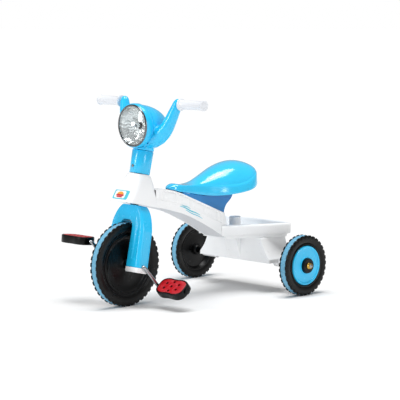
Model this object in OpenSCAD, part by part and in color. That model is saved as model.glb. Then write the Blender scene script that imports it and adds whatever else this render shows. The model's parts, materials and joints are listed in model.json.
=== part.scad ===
// Children's tricycle with a headlight, a saddle and a rear tray.
// +Z is up, -Y is forward, +X is the rider's left. The origin is on the floor,
// under the middle of the overall length. All lengths are in millimetres.

/* [Overall] */
// Distance between the front axle and the rear axle
wheelbase = 455; // [430:1:470]
// Distance between the middles of the rear wheels
rear_track = 422; // [410:1:440]
// Angle that the steering axis leans back from upright
rake = 12.5; // [11:0.5:14]

/* [Wheels] */
// Diameter of the front wheel over its lugs
front_wheel_d = 220; // [216:1:222]
// Diameter of the rear wheels over their lugs
rear_wheel_d = 164; // [158:1:168]
// Width of every tyre
tyre_w = 29; // [26:1:30]
// Number of lugs along each edge of a front tyre
front_lugs = 40; // [32:4:48]
// Number of lugs along each edge of a rear tyre
rear_lugs = 32; // [24:4:40]

/* [Crank and pedals] */
// Distance from the front axle to a pedal spindle
crank_r = 76; // [68:1:78]
// Diameter of the bent crank rod
rod_d = 9; // [8:0.5:9.5]
// Angle of the left crank below the level, towards the rear
crank_angle = 48; // [0:1:90]
// Length of a pedal along its spindle
pedal_l = 98; // [90:1:100]
// Depth of a pedal, front to rear
pedal_w = 56; // [48:1:60]
// Thickness of a pedal's body
pedal_t = 18; // [15:1:20]

/* [Handlebar] */
// Overall width over the grips
bar_w = 402; // [380:1:420]
// Height of the grips along the steering axis, from the front axle
bar_h = 427; // [420:1:435]
// Diameter of a grip
grip_d = 25; // [24:1:27]

/* [Lamp] */
// Outer radius of the lamp pod at its front ring
lamp_r = 56; // [52:1:58]
// Height of the lamp's middle above the floor
lamp_z = 470; // [466:1:474]

/* [Body] */
// Half width of the main beam
beam_hw = 43; // [40:1:45]
// Wall thickness of the moulded shells
wall = 3; // [2.5:0.5:3.5]
// Half width of the tray at its rear wall
tray_hw = 138; // [130:1:142]
// Height of the tray's rim above the floor
tray_z = 187; // [184:1:190]

/* [Hidden] */
$fn = 64;
eps = 0.01;
front_r = front_wheel_d / 2;
rear_r = rear_wheel_d / 2;
front_y = -(wheelbase + rear_r - front_r) / 2;
rear_y = front_y + wheelbase;
rod_r = rod_d / 2;
half_w = tyre_w / 2;
band_hw = 8.6;          // half width of the coloured tread band
lug_h = 2.6;            // height of a lug above the tyre's carcass
run = 0.2;              // running clearance round the crank rod
arm_x = 73.5;           // crank arms' distance from the middle plane
crank_bend = 6;         // bend radius of the crank rod
spindle_x = arm_x + crank_bend + 0.8;
crank_y = crank_r * cos(crank_angle);
crank_z = crank_r * sin(crank_angle);
left_pedal_pitch = 40;  // rest tilt of the left pedal about its spindle
right_pedal_pitch = -5;
axle_r = 5;             // rear axle
track_h = rear_track / 2;
hub_hw = 20;            // half length of a rear wheel's hub
column_r = 11;          // steering column tube
column_lo = 121;        // lower end of the column along the steering axis
column_hi = 340;
neck_lo = 158;
neck_hi = 237;
head_tube_r = 21;
fit = 0.3;              // gap between neighbouring shells
fork_top = 156;
leg_end = -4;           // lower end of the fork legs
leg_in = 22;            // inner face of a fork leg
leg_out = 68.5;         // outer face of a fork leg at the axle
leg_d = 18;             // half depth of a fork leg
bar_x = bar_w / 2;
lamp_front = 29;        // lamp ring's front plane behind the front axle
lamp_split = 49;        // joint between the ring and the housing
lamp_end = 150;
bush_flange = 2;
box_front = 404;        // front wall of the axle box behind the front axle
box_rear = 500;
box_hw = 135;
box_lo = 82;
box_top = 148.7;
tray_front = 330;
tray_floor = 152;
boss_y = 408;
boss_r = 16;            // round boss on the tray floor, with a socket for a push bar
boss_top = 200;
box_screw_x = 90;
box_screw_y = 450;

sky = "deepskyblue";
ink = "#202022";

// ---------- shared helpers ----------

// Points of an arc round (cx, cy)
function arc(cx, cy, r, a0, a1, n) =
    [for (i = [0:n]) let (a = a0 + (a1 - a0) * i / n) [cx + r * cos(a), cy + r * sin(a)]];

// Points of a quadratic curve from a to c, pulled towards b
function bend(a, b, c, n) =
    [for (i = [0:n]) let (t = i / n) (1 - t) * (1 - t) * a + 2 * t * (1 - t) * b + t * t * c];

function flip(points) = [for (i = [len(points) - 1:-1:0]) [-points[i][0], points[i][1]]];

// Closed solid through a list of rings that all have the same number of points;
// every ring runs clockwise about the direction in which the rings follow each other
module skin(rings) {
    n = len(rings[0]);
    m = len(rings);
    points = [for (ring = rings) for (p = ring) p];
    sides = [for (j = [0:m - 2]) for (i = [0:n - 1]) let (k = (i + 1) % n) each
        [[j * n + i, j * n + k, (j + 1) * n + i], [j * n + k, (j + 1) * n + k, (j + 1) * n + i]]];
    first = [[for (i = [n - 1:-1:0]) i]];
    last = [[for (i = [0:n - 1]) (m - 1) * n + i]];
    polyhedron(points, concat(sides, first, last), convexity = 6);
}

// Puts geometry that is drawn round the front axle's foot in its place
module from_front() { translate([0, front_y, 0]) children(); }

// Steering frame: origin at the front axle, +Z along the steering axis
module steering() { translate([0, front_y, front_r]) rotate([-rake, 0, 0]) children(); }

// Upright side profile, drawn in Y and Z, extruded between -w and +w along X
module side_plate(w) { rotate([90, 0, 90]) translate([0, 0, -w]) linear_extrude(2 * w) children(); }

module x_rod(x0, x1, r) { translate([x0, 0, 0]) rotate([0, 90, 0]) cylinder(r = r, h = x1 - x0); }

// Pan-head screw that points along -Z with its head's top at the origin
module screw(head_r, head_h, shank_r, shank_l) {
    translate([0, 0, -head_h]) cylinder(r = head_r, h = head_h, $fn = 32);
    translate([0, 0, -head_h - shank_l]) cylinder(r = shank_r, h = shank_l + eps, $fn = 32);
}

// ---------- white body ----------

beam_top = concat([[72, 307], [106, 302]], bend([145, 294], [165, 287], [190, 276], 3),
    [[326, 220.5], [tray_front, 205]]);
beam_foot = concat([[tray_front, 152]], bend([312, 161], [250, 199], [173, 230], 5),
    bend([140, 240], [100, 251], [66, 257], 3));

module main_beam() color("white") difference() {
    union() {
        from_front() side_plate(beam_hw) polygon(concat(beam_top, beam_foot));
        steering() translate([0, 0, neck_lo + 3]) cylinder(r = head_tube_r, h = neck_hi - neck_lo - 6);
        // Web that joins the head tube to the front end of the beam
        steering() translate([-5, 18, neck_lo + 8]) cube([10, 22, 36]);
    }
    // Hollow inside, open below where the cover closes it
    from_front() side_plate(beam_hw - wall) polygon([[84, 240], [84, 300], [106, 298], [146, 290], [186, 274],
        [323, 218], [326, 204], [tray_front - 4, 140], [250, 150]]);
    // Upright grooves between the side panels
    from_front() for (side = [-1, 1], i = [0:3])
        translate([side * beam_hw, 121 + 51 * i, 276 - 15.5 * i]) cube([3, 3, 21], center = true);
    // Bolt holes under the saddle
    from_front() for (y = [205, 290]) translate([0, y, 200]) cylinder(r = 3.2, h = 100, $fn = 32);
    steering() translate([0, 0, neck_lo]) cylinder(r = 15, h = neck_hi - neck_lo);
}

module beam_undercover() color("whitesmoke") from_front()
    side_plate(beam_hw - wall - 0.2) polygon(concat(
        bend([322, 157.5], [250, 201], [173, 232], 5), bend([140, 242], [110, 251], [88, 256], 3),
        bend([88, 259], [110, 254], [140, 245], 3), bend([173, 235], [250, 204], [322, 160.5], 5)));

// Outline of the neck cover across the steering axis: flat front, rounded corners
function neck_ring(w, front, rear, z, r) = [for (c = [[1, 1, 0], [-1, 1, 90], [-1, -1, 180], [1, -1, 270]])
    each [for (i = [0:6]) let (a = c[2] + 15 * i)
        [c[0] * (w - r) + r * cos(a), (c[1] > 0 ? rear - r : r - front) + r * sin(a), z]]];

module neck_cover() color("white") difference() {
    steering() skin([neck_ring(29, 29, 29, neck_hi, 28), neck_ring(34, 35, 34, neck_lo + 60, 20),
        neck_ring(41, 46, 41, neck_lo + 30, 14), neck_ring(45, 57, 47, neck_lo, 12)]);
    steering() skin([neck_ring(26, 26, 26, neck_hi - 4, 25), neck_ring(31, 32, 31, neck_lo + 60, 18),
        neck_ring(38, 43, 38, neck_lo + 30, 12), neck_ring(42, 54, 44, neck_lo - 1, 10)]);
    steering() translate([0, 0, neck_hi - 20]) cylinder(r = head_tube_r + fit, h = 40);
    beam_end_space();
}

// Space for the beam's front end in the back of the neck cover
module beam_end_space() from_front() side_plate(beam_hw + fit)
    polygon([[63.6, 240], [71.6, 307.4], [110, 301.9], [130, 240]]);

module front_badge() color("turquoise") steering()
    translate([0, -51.5, neck_lo + 17]) rotate([90 - 20.3, 0, 0]) translate([0, 0, 0.4])
        linear_extrude(0.8) polygon([[-27, -12], [27, -12], [25, 12], [-25, 12]]);

module side_stripes() color("turquoise") from_front()
    for (side = [-1, 1]) translate([side * (beam_hw + 0.4), 0, 0]) side_plate(0.3)
        polygon([[151, 249], [152, 245], [238, 209], [240, 211], [205, 229], [175, 242]]);

module steering_bush(z0, z1, flange_z) difference() {
    union() {
        translate([0, 0, z0]) cylinder(r = 15, h = z1 - z0);
        translate([0, 0, flange_z]) cylinder(r = 19, h = bush_flange);
    }
    translate([0, 0, z0 - 5]) cylinder(r = column_r + 0.1, h = z1 - z0 + 10);
}

module upper_steering_bush() color("gray") steering()
    steering_bush(neck_hi - 21, neck_hi - 3 + eps, neck_hi - 3);

module lower_steering_bush() color("gray") steering()
    steering_bush(neck_lo + 3 - eps, neck_lo + 21, neck_lo + 1);

// ---------- rear tray and axle box ----------

module at_box_screws() for (side = [-1, 1]) translate([side * box_screw_x, box_screw_y, 0]) children();

// Tray outline in plan: narrow at the beam, spreading to rounded rear corners
function tray_side(w, rear, n) = concat([[beam_hw + 2 + (w - tray_hw), 312 + (tray_hw - w) * 0.7]],
    bend([w - 10, rear - 38], [w, rear - 18], [w - 3, rear - 8], n),
    bend([w - 6, rear - 3], [w - 12, rear], [w - 24, rear], 2));
function tray_plan(w, rear) = concat(tray_side(w, rear, 3), flip(tray_side(w, rear, 3)));

module rear_tray() color("white") from_front() difference() {
    union() {
        translate([0, 0, tray_z - 30]) linear_extrude(30) polygon(tray_plan(tray_hw, 503));
        translate([0, 0, tray_floor - 3]) linear_extrude(20) polygon(tray_plan(tray_hw - 8, 497));
        translate([0, boss_y, tray_floor]) cylinder(r = boss_r, h = boss_top - tray_floor);
    }
    translate([0, 0, tray_floor]) linear_extrude(60) difference() {
        polygon(tray_plan(tray_hw - 12, 493));
        translate([-60, 300]) square([120, 37]);
        translate([0, boss_y]) circle(r = boss_r);
    }
    // The beam's rear end and its cover stand in this recess
    translate([-beam_hw - fit, 290, tray_floor - 4]) cube([2 * (beam_hw + fit), tray_front - 290 + fit, 60]);
    translate([0, boss_y, tray_floor + 3]) cylinder(r = boss_r - 5, h = 60);
    at_box_screws() translate([0, 0, 140]) cylinder(r = 1.8, h = 40, $fn = 32);
    at_box_screws() translate([0, 0, tray_floor - 2.2]) cylinder(r = 4.7, h = 20, $fn = 32);
}

module rear_axle_box() color("white") from_front() difference() {
    union() {
        translate([0, box_rear, 0]) rotate([90, 0, 0]) linear_extrude(box_rear - box_front)
            polygon([[-box_hw, box_lo], [box_hw, box_lo], [box_hw - 2, 104], [112, 123], [104, box_top],
                [-104, box_top], [-112, 123], [-box_hw + 2, 104]]);
        translate([0, wheelbase, rear_r]) for (side = [-1, 1])
            x_rod(side > 0 ? 114 : -168, side > 0 ? 168 : -114, 14);
        side_plate(25) polygon([[386, box_top], [406, 86], [420, 86], [420, box_top]]);
    }
    // Open below between the end walls
    for (side = [-1, 1]) translate([0, box_rear - wall, 0]) rotate([90, 0, 0])
        linear_extrude(box_rear - box_front - 2 * wall)
            polygon([[side * 4, box_lo - 1], [side * 112, box_lo - 1], [side * 112, 104], [side * 100, 122],
                [side * 96, 145], [side * 4, 145]]);
    translate([0, wheelbase, rear_r]) x_rod(-180, 180, axle_r);
    at_box_screws() translate([0, 0, 140]) cylinder(r = 1.8, h = 20, $fn = 32);
}

module tray_screws() color("silver") from_front()
    at_box_screws() translate([0, 0, tray_floor - 0.2]) screw(4.5, 2, 1.8, 7);

module rear_axle() color("silver") translate([0, rear_y, rear_r])
    x_rod(-track_h - 31, track_h + 31, axle_r);

module axle_spacers() color(ink) translate([0, rear_y, rear_r])
    for (side = [-1, 1]) difference() {
        x_rod(side > 0 ? 168 : -(track_h - hub_hw - 0.5), side > 0 ? track_h - hub_hw - 0.5 : -168, 9);
        x_rod(-300, 300, axle_r);
    }

module axle_nuts() color("goldenrod") translate([0, rear_y, rear_r])
    for (side = [-1, 1]) difference() {
        union() {
            x_rod(side > 0 ? track_h + 22.5 : -track_h - 24,
                side > 0 ? track_h + 24 : -track_h - 22.5, 8.5);
            translate([side > 0 ? track_h + 24 - eps : -track_h - 30, 0, 0]) rotate([0, 90, 0])
                cylinder(r = 7.5, h = 6, $fn = 6);
        }
        x_rod(-400, 400, axle_r);
    }

// ---------- saddle ----------

// Saddle along its length t, from 0 at the nose to 1 at the rear: half width, lower rim,
// edge of the top surface and middle of the top surface
seat_nose = 152;
seat_l = 300;
half_table = [[0, 8], [0.02, 15], [0.06, 21], [0.12, 24], [0.22, 27], [0.35, 35], [0.48, 52],
    [0.6, 69], [0.72, 79], [0.82, 80], [0.9, 71], [0.96, 52], [0.99, 28], [1, 14]];
rim_table = [[0, 295], [0.1, 286], [0.2, 280], [0.4, 271], [0.5, 270], [0.6, 272], [0.8, 281],
    [0.9, 291], [1, 306]];
crest_table = [[0, 299], [0.1, 303], [0.35, 299], [0.62, 298], [0.72, 302], [0.8, 309],
    [0.88, 321], [1, 336]];
middle_table = [[0, 300], [0.05, 309], [0.1, 307], [0.2, 304], [0.3, 309], [0.4, 321], [0.5, 334],
    [0.6, 346], [0.7, 354], [0.8, 357], [0.9, 353], [1, 340]];
function seat_ring(t, inset) = let (
        w = lookup(t, half_table) - inset,
        lo = lookup(t, rim_table),
        edge = lookup(t, crest_table) - inset,
        mid = lookup(t, middle_table) - inset,
        y = seat_nose + seat_l * t)
    concat([[w, y, lo]],
        [for (i = [0:12]) let (a = 15 * i) [0.92 * w * cos(a), y, edge + (mid - edge) * pow(sin(a), 1.3)]],
        [[-w, y, lo]],
        [for (i = [1:5]) [-w + w * i / 3, y, lo]]);

module seat_shell() color(sky) from_front() difference() {
    skin([for (i = [0:40]) seat_ring(i / 40, 0)]);
    translate([0, 0, -2]) skin([for (i = [1:39]) seat_ring(i / 40, 4)]);
    for (y = [205, 290]) translate([0, y, 240]) cylinder(r = 3.2, h = 60, $fn = 32);
}

module seat_base() color("dodgerblue") from_front() difference() {
    side_plate(31) polygon([[178, 281.8], [334, 218], [337, 232], [350, 246], [366, 256], [368, 268],
        [250, 268], [192, 281.5]]);
    side_plate(28) polygon([[196, 260], [322, 200], [332, 226], [346, 248], [362, 258], [364, 265],
        [250, 265], [196, 276]]);
    for (y = [205, 290]) translate([0, y, 200]) cylinder(r = 3.2, h = 100, $fn = 32);
}

module seat_bolts() color("silver") from_front()
    for (p = [[205, 263.4], [290, 229]]) {
        translate([0, p[0], p[1]]) cylinder(r = 3, h = 34);
        translate([0, p[0], p[1] - 4]) cylinder(r = 6, h = 4, $fn = 6);
    }

// ---------- fork ----------

fork_side = concat(bend([29, fork_top], [55, 141], [64, 92], 6), [[leg_out, leg_end]]);
gap_side = concat([[leg_in, leg_end]], arc(leg_in - 14, 103, 14, 0, 90, 5));

module fork_face() polygon(concat(fork_side, gap_side, flip(gap_side), flip(fork_side)));

// Front-to-rear slab of the fork between two depths
module fork_slab(d0, d1) translate([0, d1, 0]) rotate([90, 0, 0]) linear_extrude(d1 - d0) children();

module axle_slot() {
    x_rod(-100, 100, rod_r + run);
    translate([-100, -rod_r - run, leg_end - 1]) cube([200, rod_d + 2 * run, -leg_end + 1]);
}

module fork_front_shell() color(sky) steering() difference() {
    fork_slab(-leg_d, leg_d - 3) fork_face();
    for (side = [0, 1]) mirror([side, 0, 0]) fork_slab(-leg_d + wall, leg_d)
        polygon(concat([[25, 14], [64.5, 14]], bend([61, 91], [51, 139], [25, 152], 6),
            [[18, 152], [18, 121]], arc(leg_in - 14, 103, 17, 75, 0, 4)));
    axle_slot();
    translate([0, 0, column_lo]) cylinder(r = column_r, h = 60);
    translate([0, 50, 138]) rotate([90, 0, 0]) cylinder(r = 3, h = 64);
    // Recessed panels on the fronts of the legs
    for (side = [-1, 1]) hull() for (z = [24, 116])
        translate([side * 50, -leg_d - 1, z]) rotate([-90, 0, 0]) cylinder(r = 9, h = 2.2, $fn = 32);
}

module fork_rear_cover() color(sky) steering() difference() {
    fork_slab(leg_d - 3, leg_d) fork_face();
    axle_slot();
    translate([0, 50, 138]) rotate([90, 0, 0]) cylinder(r = 3, h = 100);
    for (side = [-1, 1], z = [7, 147]) translate([side * (z < 50 ? 55 : 21), 40, z]) rotate([90, 0, 0])
        cylinder(r = 1.6, h = 60, $fn = 32);
}

module fork_screws() color("silver") steering()
    for (side = [-1, 1], z = [7, 147]) translate([side * (z < 50 ? 55 : 21), leg_d + 1.5, z])
        rotate([-90, 0, 0]) screw(3.4, 1.5, 1.5, 3);

module crown_bolt() color("silver") steering() {
    translate([0, leg_d, 138]) rotate([90, 0, 0]) cylinder(r = 3, h = leg_d + 13.9);
    translate([0, leg_d + 4, 138]) rotate([90, 0, 0]) cylinder(r = 6, h = 4, $fn = 6);
}

module axle_clip() color("white") steering() difference() {
    union() {
        translate([leg_in - 0.5, -leg_d - 0.5, leg_end - 13]) cube([leg_out - leg_in, 2 * leg_d + 1, 13]);
        translate([leg_in + 4, -rod_r, leg_end - 1]) cube([34, rod_d, 1 + 2]);
    }
    x_rod(-100, 100, rod_r + run);
}
module left_axle_clip() axle_clip();
module right_axle_clip() mirror([1, 0, 0]) axle_clip();

// ---------- steering column, stem and handlebar ----------

module steering_column() color("gray") steering() difference() {
    translate([0, 0, column_lo]) cylinder(r = column_r, h = column_hi - column_lo);
    translate([0, 0, column_lo - 1]) cylinder(r = column_r - 2, h = column_hi - column_lo + 2);
    translate([0, 50, 138]) rotate([90, 0, 0]) cylinder(r = 3, h = 100);
    translate([0, 0, 256]) rotate([90, 0, 0]) cylinder(r = 2, h = 40, $fn = 32);
}

module stem_sleeve() color(sky) steering() difference() {
    translate([0, 0, neck_hi + 1.5]) cylinder(r1 = 27, r2 = 28.3, h = 61);
    translate([0, 0, neck_hi + 1]) cylinder(r = column_r, h = 80);
    difference() {
        translate([0, 0, neck_hi + 1]) cylinder(r1 = 24, r2 = 25.3, h = 56);
        cylinder(r = column_r + 3, h = 400);
    }
    translate([0, 0, 256]) rotate([90, 0, 0]) cylinder(r = 2, h = 40, $fn = 32);
}

module stem_screw() color("silver") steering() translate([0, -28.6, 256]) rotate([90, 0, 0])
    screw(4, 1.2, 2, 18.5);

// Middle line of one arm as [x, height along the steering axis, radius]
arm_line = [[0, 330, 27], [18, 331, 27], [35, 336, 26], [53, 343, 23.5], [68, 354, 20.5],
    [78, 367, 18], [86, 384, 16.3], [92, 400, 15.2], [96, 410, 14.3], [99, 418, 13.6],
    [101, 425, 12.8], [102.3, 432, 11.2], [103.2, 438, 8], [103.6, 441, 4]];
arm_last = len(arm_line) - 1;
function arm_ring(i) = let (
        p = arm_line[i],
        a = arm_line[max(0, i - 1)],
        b = arm_line[min(arm_last, i + 1)],
        l = norm([b[0] - a[0], b[1] - a[1]]),
        d = [(b[0] - a[0]) / l, (b[1] - a[1]) / l],
        r = p[2])
    [for (k = [0:23]) let (q = 15 * k) [p[0] - d[1] * r * cos(q), r * sin(q), p[1] + d[0] * r * cos(q)]];

module arm() steering() skin([for (i = [0:arm_last]) arm_ring(i)]);

// Pod outline, from the joint with the lamp ring to the round tail
pod_line = bend([lamp_split, lamp_r - 1], [118, 48], [lamp_end, 0], 9);
module pod(grow, cut) translate([0, front_y, lamp_z]) rotate([-90, 0, 0]) rotate_extrude()
    polygon(concat([[0, lamp_split - cut]], [[lamp_r - 1 + grow, lamp_split - cut]],
        [for (p = pod_line) [max(0, p[1] + grow), p[0] + (p[1] < 1 ? grow : 0)]]));

// Two screws recessed in the front of the arms
module arm_screws(grow, l) for (side = [-1, 1])
    translate([side * 34, -14 - l, 320]) rotate([90, 0, 0]) screw(3.4 + grow, 1.6 + l, 1.5, 9);

module handlebar_housing() color(sky) difference() {
    union() {
        pod(0, 0);
        arm();
        mirror([1, 0, 0]) arm();
        steering() translate([0, 0, 299.5]) cylinder(r = 28.3, h = 32);
    }
    pod(-wall, 1);
    // Clear of the lamp ring
    translate([0, front_y, lamp_z]) rotate([-90, 0, 0]) cylinder(r = lamp_r + 2.4, h = lamp_split + 0.2);
    steering() cylinder(r = column_r, h = column_hi + 1);
    steering() arm_screws(0.3, 10);
    steering() for (side = [0, 1]) mirror([side, 0, 0]) translate([0, 0, bar_h]) x_rod(92, 140, 6);
}

module housing_screws() color("silver") steering() arm_screws(0, 0);

// Turned lamp parts share the pod's own axis; y is the distance behind the front axle
module lamp_turned() translate([0, front_y, lamp_z]) rotate([-90, 0, 0]) rotate_extrude() children();

module lamp_ring() color(sky) lamp_turned()
    polygon([[lamp_r - 5, lamp_front], [lamp_r, lamp_front], [lamp_r + 2, lamp_front + 4],
        [lamp_r + 2, lamp_split - 4], [lamp_r + 0.5, lamp_split], [lamp_r - 4, lamp_split],
        [lamp_r - 4, lamp_front + 6], [lamp_r - 5, lamp_front + 6]]);

module lamp_trim_ring() color("silver") lamp_turned()
    polygon([[lamp_r - 5, lamp_front - 3], [lamp_r - 1.5, lamp_front - 3], [lamp_r - 0.3, lamp_front],
        [lamp_r - 5, lamp_front]]);

module lamp_lens() color([0.9, 0.95, 1, 0.4]) lamp_turned() polygon(concat(
    [[lamp_r - 5.2, lamp_front + 2], [lamp_r - 5.2, lamp_front - 1]],
    bend([lamp_r - 6, lamp_front - 2], [28, lamp_front - 9], [0, lamp_front - 9], 8),
    bend([0, lamp_front - 6.5], [28, lamp_front - 6.5], [lamp_r - 8, lamp_front + 2], 8)));

module lamp_reflector() color("gainsboro") lamp_turned() polygon(concat(
    bend([lamp_r - 5.2, lamp_front + 2.5], [42, lamp_front + 22], [10, lamp_front + 27], 8),
    bend([10, lamp_front + 29], [44, lamp_front + 24], [lamp_r - 5.2, lamp_front + 6], 8)));

module bulb_holder() color(ink) lamp_turned()
    polygon([[0, lamp_front + 24], [9.8, lamp_front + 24], [9.8, lamp_front + 34], [0, lamp_front + 34]]);

module lamp_bulb() color("lightyellow") lamp_turned()
    polygon(concat([[0, lamp_front + 24]], [[5, lamp_front + 24]], arc(0, lamp_front + 14, 6, 0, -90, 8)));

module battery_box() color(ink) translate([0, front_y, lamp_z]) difference() {
    translate([-18, lamp_front + 36, -2]) cube([36, 56, 20]);
    translate([-16, lamp_front + 38, 0]) cube([32, 52, 30]);
}

module battery_cells() color("darkorange") translate([0, front_y, lamp_z])
    for (x = [-7.8, 7.8]) translate([x, lamp_front + 39, 7.3]) rotate([-90, 0, 0])
        cylinder(r = 7.2, h = 50);

module grip_tubes() color("silver") steering() for (side = [0, 1]) mirror([side, 0, 0])
    translate([0, 0, bar_h]) x_rod(92, bar_x - 6, 6);

module left_grip() color("white") steering() translate([0, 0, bar_h]) difference() {
    union() {
        x_rod(114, 118, 16);
        x_rod(118 - eps, bar_x - 4, grip_d / 2);
        x_rod(bar_x - 4 - eps, bar_x, grip_d / 2 + 1.5);
    }
    x_rod(100, bar_x - 6, 6);
}
module right_grip() mirror([1, 0, 0]) left_grip();

// ---------- wheels ----------

function on_circle(r, a) = r * [cos(a), sin(a)];

// Half of a tyre's section as [radius, distance from its middle plane]
function tyre_side(carcass, rim_r) = [[rim_r, half_w - 4], [rim_r + 4, half_w - 1], [carcass - 9, half_w],
    [carcass - 2, half_w - 1.5], [carcass, half_w - 4], [carcass, band_hw], [carcass - 4, band_hw]];

module tyre(r, rim_r, lugs) {
    carcass = r - lug_h;
    half = tyre_side(carcass, rim_r);
    rotate([0, 90, 0]) rotate_extrude($fn = 96)
        polygon(concat(half, [for (i = [len(half) - 1:-1:0]) [half[i][0], -half[i][1]]]));
    for (side = [-1, 1]) translate([side > 0 ? band_hw + 0.2 : -half_w + 0.8, 0, 0]) rotate([0, 90, 0])
        linear_extrude(half_w - band_hw - 1) difference() {
            polygon([for (i = [0:lugs - 1]) each let (s = 360 / lugs, a = s * i) concat(
                [on_circle(carcass - 0.5, a - s / 2)],
                [for (k = [-1:1]) on_circle(r, a + k * s / 4)])]);
            circle(r = carcass - 3, $fn = 96);
        }
}

module tread_band(r) rotate([0, 90, 0]) rotate_extrude($fn = 96)
    polygon([[r - lug_h - 4, -band_hw], [r - 1.4, -band_hw + 0.6], [r - 1, 0], [r - 1.4, band_hw - 0.6],
        [r - lug_h - 4, band_hw]]);

module at_front_axle() translate([0, front_y, front_r]) children();

module front_tyre() color(ink) at_front_axle() tyre(front_r, 86, front_lugs);
module front_tread_band() color("skyblue") at_front_axle() tread_band(front_r);

module front_wheel_core() color(ink) at_front_axle() rotate([0, 90, 0]) rotate_extrude($fn = 96)
    polygon([[rod_r, -20], [15, -20], [17, -8], [60, -4], [74, -8], [80, -11.5], [86, -10.5],
        [86, 10.5], [80, 11.5], [74, 8], [60, 4], [17, 8], [15, 20], [rod_r, 20]]);

// Half of the bent rod, drawn in X and Z with its arm along +Z
module crank_half() {
    x_rod(0, arm_x - crank_bend, rod_r);
    translate([arm_x - crank_bend, 0, crank_bend]) rotate([90, 0, 0]) rotate([0, 0, -90])
        rotate_extrude(angle = 90) translate([crank_bend, 0]) circle(r = rod_r);
    translate([arm_x, 0, crank_bend]) cylinder(r = rod_r, h = crank_r - 2 * crank_bend);
    translate([arm_x + crank_bend, 0, crank_r - crank_bend]) rotate([90, 0, 0]) rotate([0, 0, 90])
        rotate_extrude(angle = 90) translate([crank_bend, 0]) circle(r = rod_r);
    translate([0, 0, crank_r]) x_rod(arm_x + crank_bend, spindle_x + pedal_l + 2.5, rod_r);
}

// One bent rod: axle, two arms and two pedal spindles
module crank_rod() color("silver") at_front_axle() rotate([-90 - crank_angle, 0, 0]) {
    crank_half();
    rotate([180, 0, 0]) mirror([1, 0, 0]) crank_half();
}

// ---------- pedals, drawn with the spindle along +X and the tread facing +Z ----------

module at_pedal(side, pitch)
    at_front_axle() translate([side * (spindle_x + pedal_l / 2), side * crank_y, -side * crank_z])
        rotate([pitch, 0, 0]) children();

// Rounded outline with a slight waist half way along
module pedal_plan(grow) polygon([for (a = [0:10:350])
    let (x = (pedal_l / 2 + grow) * sign(cos(a)) * pow(abs(cos(a)), 0.6),
        waist = 3 * exp(-pow(x / 16, 2)))
    [x, (pedal_w / 2 + grow - waist) * sign(sin(a)) * pow(abs(sin(a)), 0.62)]]);

module pedal_body() color(ink) difference() {
    translate([0, 0, -pedal_t / 2 - 1]) linear_extrude(pedal_t) pedal_plan(0);
    x_rod(-100, 100, rod_r + run);
    translate([0, 0, -pedal_t]) for (sx = [-1, 1], sy = [-1, 1])
        translate([sx * 21 - 16, sy * 14 - 6.5, 0]) cube([32, 13, pedal_t - 1]);
}

module pedal_pad() color("crimson") difference() {
    translate([0, 0, pedal_t / 2 - 1]) linear_extrude(3.5) pedal_plan(-2.5);
    for (p = [[-22, -8], [-22, 8], [0, -15], [0, 0], [0, 15], [22, -8], [22, 8]])
        translate([p[0], p[1], 0]) cylinder(r = 4, h = 30, $fn = 32);
}

module pedal_cap(side) color(ink) translate([side * (pedal_l / 2 + 0.6), 0, 0])
    difference() {
        x_rod(side > 0 ? 0 : -3.6, side > 0 ? 3.6 : 0, 7.5);
        x_rod(side > 0 ? -1 : -2.4, side > 0 ? 2.4 : 1, rod_r);
    }

module left_pedal_body() at_pedal(1, left_pedal_pitch) pedal_body();
module left_pedal_pad() at_pedal(1, left_pedal_pitch) pedal_pad();
module left_pedal_cap() at_pedal(1, left_pedal_pitch) pedal_cap(1);
module right_pedal_body() at_pedal(-1, right_pedal_pitch) pedal_body();
module right_pedal_pad() at_pedal(-1, right_pedal_pitch) pedal_pad();
module right_pedal_cap() at_pedal(-1, right_pedal_pitch) pedal_cap(-1);

// ---------- rear wheels, drawn with the outer side facing +X ----------

module at_rear(side) translate([side * track_h, rear_y, rear_r])
    mirror([side < 0 ? 1 : 0, 0, 0]) children();

module rear_core() color(ink) rotate([0, 90, 0]) rotate_extrude($fn = 96)
    polygon([[axle_r + 0.1, -hub_hw], [14, -hub_hw], [16, -6], [50, -2], [56, -10.5], [60, -10.5],
        [60, 10.5], [54, 10.5], [53.5, 8], [19, 8], [18, 21], [axle_r + 0.1, 22]]);

module rear_disc() color("dodgerblue") rotate([0, 90, 0]) rotate_extrude($fn = 96)
    polygon([[19.2, 8.2], [53, 8.2], [53, 12], [51, 14], [47, 14], [45, 12], [24, 13], [22, 14.5],
        [19.2, 14.5]]);

module left_wheel_core() at_rear(1) rear_core();
module left_tyre() color(ink) at_rear(1) tyre(rear_r, 60, rear_lugs);
module left_tread_band() color("skyblue") at_rear(1) tread_band(rear_r);
module left_wheel_disc() at_rear(1) rear_disc();
module right_wheel_core() at_rear(-1) rear_core();
module right_tyre() color(ink) at_rear(-1) tyre(rear_r, 60, rear_lugs);
module right_tread_band() color("skyblue") at_rear(-1) tread_band(rear_r);
module right_wheel_disc() at_rear(-1) rear_disc();

main_beam();
beam_undercover();
neck_cover();
front_badge();
side_stripes();
upper_steering_bush();
lower_steering_bush();
rear_tray();
rear_axle_box();
tray_screws();
rear_axle();
axle_spacers();
axle_nuts();
seat_base();
seat_shell();
seat_bolts();
fork_front_shell();
fork_rear_cover();
fork_screws();
crown_bolt();
left_axle_clip();
right_axle_clip();
steering_column();
stem_sleeve();
stem_screw();
handlebar_housing();
housing_screws();
lamp_ring();
lamp_trim_ring();
lamp_lens();
lamp_reflector();
bulb_holder();
lamp_bulb();
battery_box();
battery_cells();
grip_tubes();
left_grip();
right_grip();
front_wheel_core();
front_tyre();
front_tread_band();
crank_rod();
left_pedal_body();
left_pedal_pad();
left_pedal_cap();
right_pedal_body();
right_pedal_pad();
right_pedal_cap();
left_wheel_core();
left_tyre();
left_tread_band();
left_wheel_disc();
right_wheel_core();
right_tyre();
right_tread_band();
right_wheel_disc();
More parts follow.
